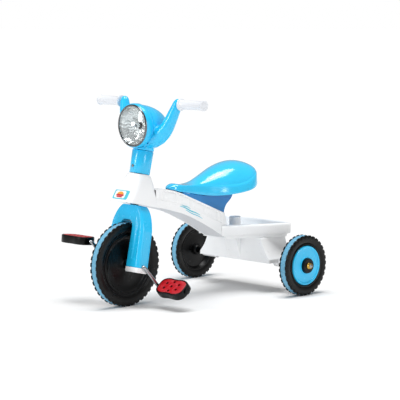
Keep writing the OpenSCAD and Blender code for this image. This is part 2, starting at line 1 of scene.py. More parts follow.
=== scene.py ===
"""Children's tricycle: moulded shells, tyres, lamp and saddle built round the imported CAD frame."""
import json
import math

import bmesh
import bpy
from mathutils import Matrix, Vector


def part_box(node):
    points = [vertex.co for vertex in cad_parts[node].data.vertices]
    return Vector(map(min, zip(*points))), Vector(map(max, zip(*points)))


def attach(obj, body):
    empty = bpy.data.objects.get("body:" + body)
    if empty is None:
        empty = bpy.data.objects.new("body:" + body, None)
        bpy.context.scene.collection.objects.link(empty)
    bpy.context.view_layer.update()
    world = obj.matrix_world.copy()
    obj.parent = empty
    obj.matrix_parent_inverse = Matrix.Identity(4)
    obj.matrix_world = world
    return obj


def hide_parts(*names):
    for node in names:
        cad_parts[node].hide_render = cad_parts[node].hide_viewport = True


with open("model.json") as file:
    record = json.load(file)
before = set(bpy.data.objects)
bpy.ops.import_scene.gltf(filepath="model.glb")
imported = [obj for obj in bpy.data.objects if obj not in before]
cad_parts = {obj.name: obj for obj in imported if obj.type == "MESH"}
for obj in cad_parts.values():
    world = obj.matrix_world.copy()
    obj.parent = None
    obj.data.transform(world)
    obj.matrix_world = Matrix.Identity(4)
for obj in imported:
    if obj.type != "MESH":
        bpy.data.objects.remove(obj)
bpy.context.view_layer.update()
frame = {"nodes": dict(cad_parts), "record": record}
RAKE = math.radians(12.5)
SIN, COS = math.sin(RAKE), math.cos(RAKE)


def middle(node):
    """Middle of a node's box, in millimetres."""
    lo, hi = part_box(node)
    return (lo + hi) / 2 * 1000


FRONT = middle("front_tyre")            # front axle's middle, in millimetres
REAR = {1: middle("left_tyre"), -1: middle("right_tyre")}
FRONT_R = (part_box("front_tyre")[1].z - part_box("front_tyre")[0].z) * 500
REAR_R = (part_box("left_tyre")[1].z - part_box("left_tyre")[0].z) * 500
LAMP_Z = middle("lamp_ring").z
BOSS_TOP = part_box("rear_tray")[1].z * 1000
BOSS_Y = 408
HEAD_TUBE_R, COLUMN_R, ROD_BORE, FIT = 21.0, 11.0, 4.7, 0.3


def at(x, y, z):
    """Point with y counted rearward from the front axle and z from the floor."""
    return Vector((x, y + FRONT.y, z))


def st(u, v, w):
    """Point in the steering frame: u to the left, v rearward, w up along the steering axis."""
    return Vector((u, FRONT.y + v * COS + w * SIN, FRONT.z - v * SIN + w * COS))


# ---------------------------------------------------------------- materials


def lin(hexa):
    """Linear colour from a six-digit one."""
    out = []
    for i in (0, 2, 4):
        c = int(hexa[i:i + 2], 16) / 255
        out.append(c / 12.92 if c <= 0.04045 else ((c + 0.055) / 1.055) ** 2.4)
    return out


def material(name, colour, rough, vary=0.04, bump=0.15, grain=900.0, metallic=0.0, coat=0.0,
             rough_vary=0.08, transmission=0.0, ior=1.5, big=22.0, specular=0.5):
    """Noise-driven colour, gloss and surface relief over a principled shader."""
    m = bpy.data.materials.new(name)
    m.use_nodes = True
    nt = m.node_tree
    sh = nt.nodes["Principled BSDF"]
    co = nt.nodes.new("ShaderNodeTexCoord")

    def noise(scale, detail):
        n = nt.nodes.new("ShaderNodeTexNoise")
        n.inputs["Scale"].default_value = scale
        n.inputs["Detail"].default_value = detail
        nt.links.new(co.outputs["Object"], n.inputs["Vector"])
        return n

    base = lin(colour)
    mix = nt.nodes.new("ShaderNodeMix")
    mix.data_type = "RGBA"
    nt.links.new(noise(big, 3).outputs["Fac"], mix.inputs["Factor"])
    mix.inputs[6].default_value = (*[c * (1 - vary) for c in base], 1)
    mix.inputs[7].default_value = (*[min(1, c * (1 + vary)) for c in base], 1)
    nt.links.new(mix.outputs[2], sh.inputs["Base Color"])
    ran = nt.nodes.new("ShaderNodeMapRange")
    ran.inputs["To Min"].default_value = max(0.02, rough - rough_vary)
    ran.inputs["To Max"].default_value = min(1, rough + rough_vary)
    nt.links.new(noise(big * 5, 4).outputs["Fac"], ran.inputs["Value"])
    nt.links.new(ran.outputs["Result"], sh.inputs["Roughness"])
    bm = nt.nodes.new("ShaderNodeBump")
    bm.inputs["Strength"].default_value = bump
    bm.inputs["Distance"].default_value = 0.0004
    nt.links.new(noise(grain, 2).outputs["Fac"], bm.inputs["Height"])
    nt.links.new(bm.outputs["Normal"], sh.inputs["Normal"])
    sh.inputs["Metallic"].default_value = metallic
    sh.inputs["Coat Weight"].default_value = coat
    sh.inputs["Coat Roughness"].default_value = 0.08
    sh.inputs["Transmission Weight"].default_value = transmission
    sh.inputs["IOR"].default_value = ior
    sh.inputs["Specular IOR Level"].default_value = specular
    return m


BLUE = material("sky_blue_plastic", "1FC4F8", 0.25, coat=0.45, bump=0.06, vary=0.05)
SEAT_BLUE = material("saddle_plastic", "26C8F8", 0.16, coat=1.0, bump=0.05, vary=0.05)
DEEP_BLUE = material("base_plastic", "067CC0", 0.33, coat=0.2, bump=0.08, vary=0.05)
WHITE = material("white_plastic", "FAFBFC", 0.3, coat=0.3, bump=0.06, vary=0.02)
# Greyer white for the grips: painted shade on white plastic
GRIP_SHADE_GREY = material("grip_plastic_painted_shade", "E3E6EB", 0.32, coat=0.2, bump=0.08, vary=0.02)
# Greyer white for the underside cover: painted shade, as the underside faces down into shade
SHADED_UNDERSIDE_GREY = material("undercover_plastic", "D9DADD", 0.5, bump=0.15, vary=0.03)
BLACK = material("black_plastic", "050607", 0.3, bump=0.2, vary=0.2, specular=0.22)
TYRE = material("tyre_plastic", "060606", 0.3, bump=0.3, vary=0.2, grain=600.0, specular=0.26)
TREAD = material("tread_band", "6FB0CF", 0.42, bump=0.5, vary=0.14, grain=420.0, specular=0.5)
RED = material("pedal_pad", "B80F1A", 0.38, bump=0.25, vary=0.06)
CHROME = material("bright_steel", "A4A7AB", 0.2, metallic=1.0, bump=0.04, vary=0.03, rough_vary=0.05)
# Darkened chrome for the lamp trim: painted dark reflection
DARK_REFLECTION_CHROME = material("chrome_painted_dark_reflection", "6E7174", 0.12, metallic=1.0, bump=0.02, vary=0.02, rough_vary=0.03)
MIRROR = material("reflector_coat", "FAF8F2", 0.16, metallic=0.72, bump=0.03, vary=0.03, rough_vary=0.05)
ZINC = material("zinc", "8F9296", 0.35, metallic=1.0, bump=0.2, vary=0.08)
STEEL = material("tube_steel", "84888C", 0.4, metallic=1.0, bump=0.2, vary=0.06)
BRASS = material("brass", "C9A24A", 0.28, metallic=1.0, bump=0.15, vary=0.08)
ACETAL = material("bush_acetal", "8C8E90", 0.45, bump=0.1, vary=0.04)
GLASS = material("clear_lens", "F4FAFF", 0.05, transmission=1.0, ior=1.49, bump=0.01, vary=0.01,
                 rough_vary=0.02)
TURQUOISE = material("film_turquoise", "4CC6DC", 0.3, coat=0.4, bump=0.04, vary=0.05)
FILM_WHITE = material("film_white", "F4F4F0", 0.3, coat=0.4, bump=0.04, vary=0.02)
ORANGE = material("film_orange", "F2A23C", 0.3, coat=0.4, bump=0.04, vary=0.08)
FILM_RED = material("film_red", "C8283C", 0.3, coat=0.4, bump=0.04, vary=0.06)
CELL = material("cell_jacket", "D98A2B", 0.35, bump=0.1, vary=0.05)

SLOT_LOOKS = {
    "white_plastic": WHITE, "undercover_plastic": SHADED_UNDERSIDE_GREY, "zinc_screw": ZINC, "bearing_plastic": ACETAL,
    "bright_steel": CHROME, "grey_steel": STEEL, "black_plastic": BLACK, "brass": BRASS,
              "blue_plastic": BLUE, "chrome_trim": DARK_REFLECTION_CHROME, "clear_lens": GLASS, "mirror_coat": MIRROR,
              "cell_jacket": CELL, "tyre_black": TYRE, "tread_blue": TREAD, "red_plastic": RED,
              "printed_film": TURQUOISE}


# ---------------------------------------------------------------- mesh helpers


def finish_mesh(bm, name, look, body, replaces=(), smooth=40, bevel=0.0, segments=3, angle=35):
    """Turns a bmesh in millimetres into a named, riding piece."""
    bmesh.ops.recalc_face_normals(bm, faces=bm.faces)
    bmesh.ops.scale(bm, vec=(0.001, 0.001, 0.001), verts=bm.verts)
    me = bpy.data.meshes.new(name)
    bm.to_mesh(me)
    bm.free()
    ob = bpy.data.objects.new(name, me)
    bpy.context.scene.collection.objects.link(ob)
    me.materials.append(look)
    if bevel:
        add_bevel(ob, bevel, segments, angle)
    me.shade_smooth()
    if smooth < 180:
        me.set_sharp_from_angle(angle=math.radians(smooth))
    if bevel:
        ob.modifiers.new("even", "WEIGHTED_NORMAL").keep_sharp = True
    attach(ob, body)
    if replaces:
        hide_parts(*replaces)
    return ob


def add_bevel(ob, width, segments=3, angle=35):
    b = ob.modifiers.new("edge", "BEVEL")
    b.width = width / 1000
    b.segments = segments
    b.limit_method = "ANGLE"
    b.angle_limit = math.radians(angle)
    b.harden_normals = False
    b.use_clamp_overlap = True
    return b


def loft(bm, rings, cap=True, closed_path=False):
    """Skin through rings of points; each ring is closed."""
    rows = [[bm.verts.new(p) for p in ring] for ring in rings]
    n = len(rows[0])
    pairs = list(zip(rows, rows[1:]))
    if closed_path:
        pairs.append((rows[-1], rows[0]))
    for a, b in pairs:
        for i in range(n):
            k = (i + 1) % n
            bm.faces.new((a[i], a[k], b[k], b[i]))
    if cap and not closed_path:
        bm.faces.new(rows[0][::-1])
        bm.faces.new(rows[-1])
    return rows


def lathe(bm, profile, place, n=96):
    """Turns a closed profile of (radius, along) points; place maps (along, a, b) to space."""
    rings = []
    for i in range(n):
        t = 2 * math.pi * i / n
        rings.append([place(z, r * math.cos(t), r * math.sin(t)) for r, z in profile])
    loft(bm, rings, closed_path=True)


def extrude(bm, outline, place, lo, hi):
    """Straight slab: place maps (a, b, depth) to space."""
    return loft(bm, [[place(a, b, lo) for a, b in outline], [place(a, b, hi) for a, b in outline]])


def arc(cx, cy, r, a0, a1, n):
    """Points of an arc, angles in degrees."""
    turns = [math.radians(a0 + (a1 - a0) * i / n) for i in range(n + 1)]
    return [(cx + r * math.cos(t), cy + r * math.sin(t)) for t in turns]


def bend(a, b, c, n):
    """Quadratic curve from a to c, drawn towards b."""
    out = []
    for i in range(n + 1):
        t = i / n
        out.append(tuple((1 - t) ** 2 * p + 2 * t * (1 - t) * q + t * t * r for p, q, r in zip(a, b, c)))
    return out


def smoothstep(t):
    """Soft step from 0 to 1."""
    t = max(0.0, min(1.0, t))
    return t * t * (3 - 2 * t)


def table_value(points, t):
    """Value at t on straight lines through (t, value) points."""
    for (t0, v0), (t1, v1) in zip(points, points[1:]):
        if t <= t1:
            s = max(0.0, (t - t0) / (t1 - t0))
            return v0 + (v1 - v0) * s
    return points[-1][1]


def spline_value(points, t):
    """Catmull-Rom value at t through (t, value) design points."""
    n = len(points)
    if t <= points[0][0]:
        return points[0][1]
    if t >= points[-1][0]:
        return points[-1][1]
    i = next(k for k in range(n - 1) if points[k][0] <= t <= points[k + 1][0])
    t0, p0 = points[i]
    t1, p1 = points[i + 1]
    m0 = (p1 - points[i - 1][1]) / (t1 - points[i - 1][0]) if i > 0 else (p1 - p0) / (t1 - t0)
    m1 = (points[i + 2][1] - p0) / (points[i + 2][0] - t0) if i + 2 < n else (p1 - p0) / (t1 - t0)
    h = t1 - t0
    s = (t - t0) / h
    return ((2 * s ** 3 - 3 * s ** 2 + 1) * p0 + (s ** 3 - 2 * s ** 2 + s) * h * m0
            + (-2 * s ** 3 + 3 * s ** 2) * p1 + (s ** 3 - s ** 2) * h * m1)


def boolean(ob, cutter_bm, operation="DIFFERENCE"):
    """Cuts or joins a millimetre bmesh into a piece, for good."""
    bmesh.ops.recalc_face_normals(cutter_bm, faces=cutter_bm.faces)
    bmesh.ops.scale(cutter_bm, vec=(0.001, 0.001, 0.001), verts=cutter_bm.verts)
    me = bpy.data.meshes.new("cutter")
    cutter_bm.to_mesh(me)
    cutter_bm.free()
    cut = bpy.data.objects.new("cutter", me)
    bpy.context.scene.collection.objects.link(cut)
    mod = ob.modifiers.new("cut", "BOOLEAN")
    mod.operation = operation
    mod.solver = "EXACT"
    mod.object = cut
    apply_all(ob)
    bpy.data.objects.remove(cut)


def apply_all(ob):
    dg = bpy.context.evaluated_depsgraph_get()
    dg.update()
    me = bpy.data.meshes.new_from_object(ob.evaluated_get(dg), depsgraph=dg)
    old = ob.data
    ob.modifiers.clear()
    ob.data = me
    bpy.data.meshes.remove(old)


def circle(place, radius, n):
    """Points of a circle; place maps (a, b) to space."""
    turns = [2 * math.pi * k / n for k in range(n)]
    return [place(radius * math.cos(t), radius * math.sin(t)) for t in turns]


def bore(ob, place, radius, span, n=48):
    """Round hole in a piece; place maps (a, b, along) to space."""
    cut = bmesh.new()
    loft(cut, [circle(lambda a, b: place(a, b, along), radius, n) for along in span])
    boolean(ob, cut)


def fuse(ob, voxel, rounds):
    """Melts overlapping closed parts into one softly blended skin; voxel in metres."""
    melt = ob.modifiers.new("fuse", "REMESH")
    melt.mode = "VOXEL"
    melt.voxel_size = voxel
    melt.use_smooth_shade = True
    blend = ob.modifiers.new("blend", "SMOOTH")
    blend.factor = 0.5
    blend.iterations = rounds
    apply_all(ob)


def shade_again(ob, angle):
    """Shading of a piece after it has been cut."""
    ob.data.shade_smooth()
    ob.data.set_sharp_from_angle(angle=math.radians(angle))


# ---------------------------------------------------------------- carried-over CAD pieces

for node, ob in frame["nodes"].items():
    slot = next(s["material_slot"] for s in frame["record"]["subparts"] if s["node"] == node)
    look = SLOT_LOOKS.get(slot, BLUE)
    for i in range(len(ob.material_slots)):
        ob.material_slots[i].material = look
    if not ob.material_slots:
        ob.data.materials.append(look)
    weld = ob.modifiers.new("weld", "WELD")
    weld.merge_threshold = 0.00001
    ob.data.shade_smooth()
    ob.data.set_sharp_from_angle(angle=math.radians(35))

# ---------------------------------------------------------------- wheels


def tyre(name, centre, r, rim_r, lugs, body, node):
    """Black tyre with a row of lugs along both edges."""
    bm = bmesh.new()
    core = r - 1.9

    def place(x, a, b):
        return Vector((centre.x + x, centre.y + a, centre.z + b))

    side = [(rim_r, 10.5), (rim_r + 2, 12.4), (rim_r + 5, 13.6), (core - 10, 14.5), (core - 5, 14.2),
            (core - 2.2, 13.0), (core - 0.6, 11.0), (core, 9.0), (core - 0.4, 8.7), (core - 4, 8.6)]
    lathe(bm, side + [(q, -x) for q, x in reversed(side)], place, n=120)
    lug = [(core - 8, 13.9), (core - 7.5, 14.48), (core - 3, 14.4), (core - 0.6, 13.6), (r, 11.8),
           (r, 9.4), (core - 3, 9.2)]
    for k in (-1, 1):
        for i in range(lugs):
            mid = 2 * math.pi * (i + (0.0 if k > 0 else 0.5)) / lugs - math.pi / 2
            half = math.pi / lugs * 0.56
            loft(bm, [[place(k * x, q * math.cos(t), q * math.sin(t)) for q, x in lug]
                      for t in (mid - half, mid + half)])
    return finish_mesh(bm, name, TYRE, body, [node], smooth=50, bevel=0.6, segments=2,
                       angle=40)


def band(name, centre, r, body, node, cells):
    """Coloured band with two staggered rows of low rounded studs."""
    bm = bmesh.new()
    top = r - 2.2

    def place(x, a, b):
        return Vector((centre.x + x, centre.y + a, centre.z + b))

    prof = [(r - 6.6, 8.5), (top - 0.9, 8.5), (top - 0.3, 8.2), (top, 7.2)]
    full = prof + [(top + 0.3, 2.0), (top + 0.3, -2.0)] + [(q, -x) for q, x in reversed(prof)]
    lathe(bm, full, place, n=120)
    for row, mid_x in enumerate((-4.3, 4.3)):
        for i in range(cells):
            mid = 2 * math.pi * (i + 0.5 * row) / cells
            half = math.pi / cells * 0.62
            rings = []
            for q, size in ((top - 0.6, 1.0), (top + 0.7, 0.92), (top + 1.15, 0.62)):
                ring = []
                for t in (2 * math.pi * k / 10 for k in range(10)):
                    turn = mid + half * size * math.sin(t)
                    ring.append(place(mid_x + 2.9 * size * math.cos(t), q * math.cos(turn),
                                      q * math.sin(turn)))
                rings.append(ring)
            loft(bm, rings)
    return finish_mesh(bm, name, TREAD, body, [node], smooth=50)


tyre("front_tyre_moulded", FRONT, FRONT_R, 86, 40, "front_wheel", "front_tyre")
band("front_tread_band_moulded", FRONT, FRONT_R, "front_wheel", "front_tread_band", 84)
for side, word in ((1, "left"), (-1, "right")):
    body = f"rear_{word}_wheel"
    tyre(f"rear_{word}_tyre_moulded", REAR[side], REAR_R, 60, 32, body, f"{word}_tyre")
    band(f"rear_{word}_tread_band_moulded", REAR[side], REAR_R, body, f"{word}_tread_band", 62)


def wheel_core():
    """Dished black web with two raised rings and a hub, the same on both sides."""
    bm = bmesh.new()
    half = [(4.6, 20.5), (13, 20.5), (15, 19.5), (16.5, 9.5), (20, 7.6), (46, 5.4), (66, 6.2), (71, 8.6),
            (72.5, 11.2), (75, 12.4), (77.5, 11.2), (78.5, 9.0), (82, 9.4), (84, 11.6), (86, 12.0)]
    prof = half + [(q, -x) for q, x in reversed(half)]
    lathe(bm, prof, lambda x, a, b: Vector((FRONT.x + x, FRONT.y + a, FRONT.z + b)), n=120)
    finish_mesh(bm, "front_wheel_web", BLACK, "front_wheel", ["front_wheel_core"],
                smooth=40)


wheel_core()

for side, word in ((1, "left"), (-1, "right")):
    c = REAR[side]

    def place(x, a, b, side=side, c=c):
        return Vector((c.x + side * x, c.y + a, c.z + b))

    bm = bmesh.new()
    prof = [(5.2, -20), (12.5, -20), (14, -18.5), (16, -6), (40, -3), (50, -2.5), (54, -9), (57, -12),
            (60, -12), (60, 12.0), (58.8, 13.0), (56, 13.0), (54.5, 11.5), (53.4, 8), (20.2, 8),
            (20, 21.5), (18.6, 23), (9.5, 23), (9, 21.8), (5.2, 21.8)]
    lathe(bm, prof, place, n=96)
    finish_mesh(bm, f"rear_{word}_wheel_web", BLACK, f"rear_{word}_wheel",
                [f"{word}_wheel_core"], smooth=40)
    bm = bmesh.new()
    prof = [(20.4, 8.2), (53.2, 8.2), (53.2, 13), (52.2, 14.6), (49.5, 15), (47.6, 14.2), (46.6, 12.4),
            (44.6, 11.8), (33, 12.8), (25.4, 13.2), (24, 15), (21.6, 15.2), (20.4, 14)]
    lathe(bm, prof, place, n=96)
    finish_mesh(bm, f"rear_{word}_wheel_cap", BLUE, f"rear_{word}_wheel",
                [f"{word}_wheel_disc"], smooth=40)

# ---------------------------------------------------------------- saddle

# Along the saddle: t is 0 at the nose and 1 at the rear
SEAT_HALF = [(0, 8), (0.02, 15), (0.06, 21), (0.12, 24), (0.22, 27), (0.35, 35), (0.48, 52), (0.6, 69),
             (0.72, 79), (0.82, 80), (0.9, 71), (0.96, 52), (0.99, 28), (1, 14)]
SEAT_RIM = [(0, 295), (0.1, 286), (0.2, 280), (0.4, 271), (0.5, 270), (0.6, 272), (0.8, 281), (0.9, 291),
            (1, 306)]
SEAT_CREST = [(0, 299), (0.1, 303), (0.35, 299), (0.62, 298), (0.72, 302), (0.8, 309), (0.88, 321),
              (1, 336)]
SEAT_MIDDLE = [(0, 300), (0.05, 309), (0.1, 307), (0.2, 304), (0.3, 309), (0.4, 321), (0.5, 334),
               (0.6, 346), (0.7, 354), (0.8, 357), (0.9, 353), (1, 340)]
SEAT_Y0, SEAT_L = 152.0, 300.0


def seat_ring(t):
    """Closed section of the saddle shell at t."""
    w, lo = spline_value(SEAT_HALF, t), spline_value(SEAT_RIM, t)
    crest, mid = spline_value(SEAT_CREST, t), spline_value(SEAT_MIDDLE, t)
    y = SEAT_Y0 + SEAT_L * t
    half = [(w - 2.5, lo + 3), (w - 1.5, lo + 0.4), (w, lo + 0.6), (w + 0.4, lo + 3),
            (w * 0.99, lo + 0.45 * (crest - lo)), (w * 0.965, crest - 3.4), (w * 0.94, crest - 0.9),
            (w * 0.91, crest + 0.3)]
    for i in range(1, 13):
        a = math.radians(7.5 * i)
        half.append((0.91 * w * math.cos(a), crest + 0.3 + (mid - crest) * math.sin(a) ** 1.35))
    left = half[:-1]
    ring = left + [(0.0, half[-1][1])] + [(-x, z) for x, z in reversed(left)]
    # Underside, a wall's thickness below the top
    under = []
    for i in range(1, 12):
        a = math.pi * i / 12
        under.append((-(w - 3.2) * math.cos(a),
                      lo + 4 + (crest + 0.75 * (mid - crest) - 4 - lo - 4) * math.sin(a) ** 0.7))
    return [at(x, y, z) for x, z in ring + under]


bm = bmesh.new()
steps = [0.0, 0.006, 0.015, 0.03, 0.05] + [0.07 + 0.9 * i / 40 for i in range(40)]
steps += [0.975, 0.985, 0.993, 0.998, 1.0]
loft(bm, [seat_ring(t) for t in steps])
seat = finish_mesh(bm, "saddle_shell", SEAT_BLUE, "frame", ["seat_shell"], smooth=180)
sub = seat.modifiers.new("round", "SUBSURF")
sub.render_levels = sub.levels = 1

# ---------------------------------------------------------------- saddle base

bm = bmesh.new()
base = bend((334, 218), (336, 237), (350, 247), 8) + bend((350, 247), (364, 256), (368, 268), 6)[1:]
base += [(366, 276), (275, 276), (262, 271.8), (252, 272.8), (232, 276.2), (212, 279.9), (192, 283.8),
         (178, 281.8)]
loft(bm, [[at(x, y, z) for y, z in base] for x in (-31, 31)])
finish_mesh(bm, "saddle_base", DEEP_BLUE, "frame", ["seat_base"], smooth=35, bevel=1.2,
            angle=40)

# ---------------------------------------------------------------- white body

BEAM_W = 43.0
BEAM_TOP = [(72, 307), (106, 302)] + bend((106, 302), (152, 293), (190, 276), 12)[1:]
BEAM_TOP += [(326, 220.5), (330, 205)]
BEAM_FOOT = [(330, 152)] + bend((312, 161), (250, 199), (173, 230), 16)
BEAM_FOOT += bend((173, 230), (120, 247), (66, 257), 8)[1:]


def on_line(points, y):
    """Height at y along a line of (y, z) points."""
    pts = sorted(points)
    for (y0, z0), (y1, z1) in zip(pts, pts[1:]):
        if y0 <= y <= y1:
            return z0 + (z1 - z0) * (y - y0) / (y1 - y0) if y1 > y0 else z1
    return pts[0][1] if y < pts[0][0] else pts[-1][1]


def end_tuck(y):
    """How far the beam's sides lean in where it enters the neck cover."""
    return 5.0 * (1 - smoothstep((y - 72) / 30))


def beam_side_ring(y):
    """Half section of the beam at y, from the foot edge up over the shoulder to the middle."""
    top, foot = on_line(BEAM_TOP, y), on_line(BEAM_FOOT, y)
    w = BEAM_W
    # Rows of soft pads along the upper edge, parted by narrow valleys
    ring = [(w - 3.0, foot + 2.5), (w - 2.6, foot + 0.3), (w - 0.9, foot), (w, foot + 1.2)]
    rows = 26
    depth = top - foot
    pad = 0.0
    if 96 < y < 312:
        s = (y - 96) / 51.0
        across = abs((s % 1.0) - 0.5) * 2
        pad = 1 - smoothstep((across - 0.74) / 0.22)
    for i in range(1, rows):
        z = foot + 1.2 + (depth - 4.2) * i / rows
        down = top - z
        along = max(0.0, min(1.0, (down - 4) / 27))
        swell = math.sin(math.pi * along) ** 0.5
        sunk = smoothstep((down - 2) / 3) * (1 - smoothstep((down - 29) / 3))
        sunk *= smoothstep((y - 90) / 6) * (1 - smoothstep((y - 312) / 5))
        tuck = end_tuck(y) * smoothstep((z - foot) / (depth * 0.8))
        ring.append((w - 3.4 * sunk + 3.2 * sunk * pad * swell - tuck, z))
    for i in range(7):
        a = math.radians(15 * i)
        ring.append((w - 3.0 + 3.0 * math.cos(a) - end_tuck(y), top - 3.0 + 3.0 * math.sin(a)))
    ring.append((w * 0.5, top))
    ring.append((0.0, top))
    return ring


bm = bmesh.new()
rings = []
steps, wall = 150, BEAM_W - 3.0
for i in range(steps + 1):
    y = 72.5 + (329.6 - 72.5) * i / steps
    half = beam_side_ring(y)
    low, roof = half[0][1] + 3, half[-1][1] - 5
    ring = [(wall, low)] + half + [(-x, z) for x, z in reversed(half[:-1])]
    rings.append([at(x, y, z) for x, z in ring + [(-wall, low), (-wall, roof), (wall, roof)]])
loft(bm, rings)
# Nose of the beam that closes the joint inside the neck cover
nose = [(33, 259), (26, 303), (-26, 303), (-33, 259)]
loft(bm, [[at(x, y, z) for x, z in nose] for y in (63, 73.5)])
# Its rear end is closed too
rear_end = [(325.6, 156), (325.6, 217), (329.5, 203.5), (329.5, 153.5)]
extrude(bm, rear_end, lambda y, z, x: at(x, y, z), -wall, wall)
finish_mesh(bm, "main_beam_shell", WHITE, "frame", ["main_beam"], smooth=38)
# The head tube and its web stand inside the neck cover
bm = bmesh.new()
lathe(bm, [(15, 161), (HEAD_TUBE_R, 161), (HEAD_TUBE_R, 234), (15, 234)], lambda w, a, b: st(a, b, w),
      n=64)
extrude(bm, [(18, 168), (40, 168), (40, 202), (18, 202)], lambda v, w, d: st(d, v, w), -5, 5)
finish_mesh(bm, "head_tube", WHITE, "frame", [], smooth=40)

# Closed underside of the beam, in a greyer white that is painted shade
bm = bmesh.new()
under = bend((328, 153.5), (250, 200), (173, 231.5), 20)
under += bend((173, 231.5), (130, 246), (84, 255), 8)[1:]
section = [(-39.6, 0), (-34, -0.8), (0, -1.4), (34, -0.8), (39.6, 0), (39.6, 3), (-39.6, 3)]
loft(bm, [[at(x, y, z + dz) for x, dz in section] for y, z in under])
finish_mesh(bm, "beam_underside", SHADED_UNDERSIDE_GREY, "frame", ["beam_undercover"], smooth=40)

# Neck cover: a bell that is flat in front and round at the corners. Each row gives the height along
# the steering axis, half width, front and rear depth, and corner radius
NECK_LO, NECK_HI = 158, 237
NECK = [(158, 45, 57, 47, 12), (159.2, 45.4, 57.4, 47.2, 12.6), (162, 45.2, 57, 46.8, 13),
        (174, 43.8, 52.4, 44.8, 13.5), (188, 41, 46.4, 41.4, 14.5), (203, 37.6, 40.4, 37.6, 17),
        (218, 34, 35.2, 34, 20.5), (229, 31.2, 31.6, 31.2, 25), (235, 29.8, 29.9, 29.8, 27.6),
        (237, 28.4, 28.4, 28.4, 27.4)]


def neck_ring(w, half, front, rear, r, grow=0.0):
    """Section of the neck cover; grow moves it inwards."""
    half, front, rear, r = half - grow, front - grow, rear - grow, max(1.0, r - grow)
    ring = []
    for sx, sy, a0 in ((1, 1, 0), (-1, 1, 90), (-1, -1, 180), (1, -1, 270)):
        for i in range(9):
            a = math.radians(a0 + 90 * i / 8)
            v = rear - r if sy > 0 else r - front
            ring.append(st(sx * (half - r) + r * math.cos(a), v + r * math.sin(a), w))
    return ring


def neck_size(w):
    """Half width, front, rear and corner radius of the neck cover at height w."""
    return [spline_value([(n[0], n[k]) for n in NECK], w) for k in (1, 2, 3, 4)]


bm = bmesh.new()
heights = [NECK_LO + (NECK_HI - NECK_LO) * (i / 60) for i in range(61)]
outside = [neck_ring(w, *neck_size(w)) for w in heights]
inside = [neck_ring(w, *neck_size(w), grow=3) for w in (233, 218, 203, 188, 174, 159.5)]
loft(bm, outside + inside)
neck = finish_mesh(bm, "neck_shell", WHITE, "frame", ["neck_cover"], smooth=50)
# The beam enters through an opening that follows its sides
cut = bmesh.new()
rings = []
for y in (72.2, 74, 77, 80, 84, 88, 93, 98, 104, 112, 125):
    top, foot = on_line(BEAM_TOP, y), on_line(BEAM_FOOT, y)
    half = []
    for i in range(9):
        z = 238 + (top + 0.3 - 238) * i / 8
        lean = end_tuck(y) * smoothstep((z - foot) / ((top - foot) * 0.8))
        half.append((BEAM_W + 0.2 - lean, z))
    rings.append([at(x, y, z) for x, z in half] + [at(-x, y, z) for x, z in reversed(half)])
loft(cut, rings)
boolean(neck, cut)
bore(neck, st, HEAD_TUBE_R + 0.4, (225, 245))
shade_again(neck, 40)

# Badge with a turquoise frame and warm generic shapes, and plain side stripes
BADGE_LEAN = math.radians(20.3)


def badge_point(a, b, depth):
    """a across, b up the leaning front face of the neck cover, depth outwards."""
    w = 175 + b * math.cos(BADGE_LEAN) + depth * math.sin(BADGE_LEAN)
    v = -51.8 + b * math.sin(BADGE_LEAN) - depth * math.cos(BADGE_LEAN)
    return st(a, v, w)


def rounded(hw, hh, r, n=6):
    """Rectangle of half sizes hw and hh with rounded corners."""
    return (arc(hw - r, hh - r, r, 0, 90, n) + arc(-hw + r, hh - r, r, 90, 180, n)
            + arc(-hw + r, -hh + r, r, 180, 270, n) + arc(hw - r, -hh + r, r, 270, 360, n))


def patch(outline, lo, hi, look, name, nodes=()):
    """Thin film on the badge face, between two depths."""
    bm = bmesh.new()
    extrude(bm, outline, badge_point, lo, hi)
    return finish_mesh(bm, name, look, "frame", nodes, smooth=40)


patch([(x, y + 1.4) for x, y in rounded(27.6, 13, 4)], 0.2, 1.0, TURQUOISE, "badge_frame",
      ["front_badge"])
patch([(x - 3.2, y + 1.6) for x, y in rounded(19.8, 10.6, 5)], 0.9, 1.15, FILM_WHITE, "badge_ground")
dome = [math.pi * i / 16 for i in range(17)]
patch([(-3 + 12 * math.cos(t), 2.4 + 7.4 * math.sin(t)) for t in dome], 1.1, 1.3, ORANGE, "badge_dome")
patch([(x - 3, y - 0.4) for x, y in rounded(14, 2.6, 2)], 1.1, 1.35, FILM_RED, "badge_bar")
patch([(x - 3, y - 5.2) for x, y in rounded(10.5, 1.7, 1.4)], 1.1, 1.35, FILM_RED, "badge_foot")

# Front end, rear end, drop below the middle line and thickness of each stripe
STRIPES = ((156, 232, 0.0, 3.0), (176, 240, 5.5, 2.2), (162, 196, -5.0, 1.6))
for side, word in ((1, "left"), (-1, "right")):
    for k, (y0, y1, drop, thick) in enumerate(STRIPES):
        bm = bmesh.new()
        rings = []
        for i in range(25):
            t = i / 24
            y = y0 + (y1 - y0) * t
            z = on_line(BEAM_FOOT, y) + 17.5 - drop + 0.8 * math.sin(9 * t + k)
            h = 0.15 + thick / 2 * math.sin(math.pi * t) ** 0.6
            x = side * BEAM_W
            face = x + side * 0.35
            rings.append([at(x, y, z + h), at(face, y, z + h), at(face, y, z - h), at(x, y, z - h)])
        loft(bm, rings)
        finish_mesh(bm, f"{word}_stripe_{k + 1}", TURQUOISE, "frame", ["side_stripes"],
                    smooth=40)

# Rear tray
TRAY_HW = 138.0


def tray_half(w, rear):
    """Left half of the tray's outline, from the beam round to the rear."""
    front = (BEAM_W + 2 + (w - TRAY_HW), 312 + (TRAY_HW - w) * 0.7)
    run = (w - 10 - front[0], rear - 38 - front[1])
    flank = [(front[0] + run[0] * i / 14, front[1] + run[1] * i / 14) for i in range(14)]
    return flank + bend((w - 10, rear - 38), (w + 2, rear), (w - 26, rear), 18)


def tray_ring(w, rear, z):
    """Whole outline of the tray at height z."""
    half = tray_half(w, rear)
    return [at(x, y, z) for x, y in half] + [at(-x, y, z) for x, y in reversed(half)]


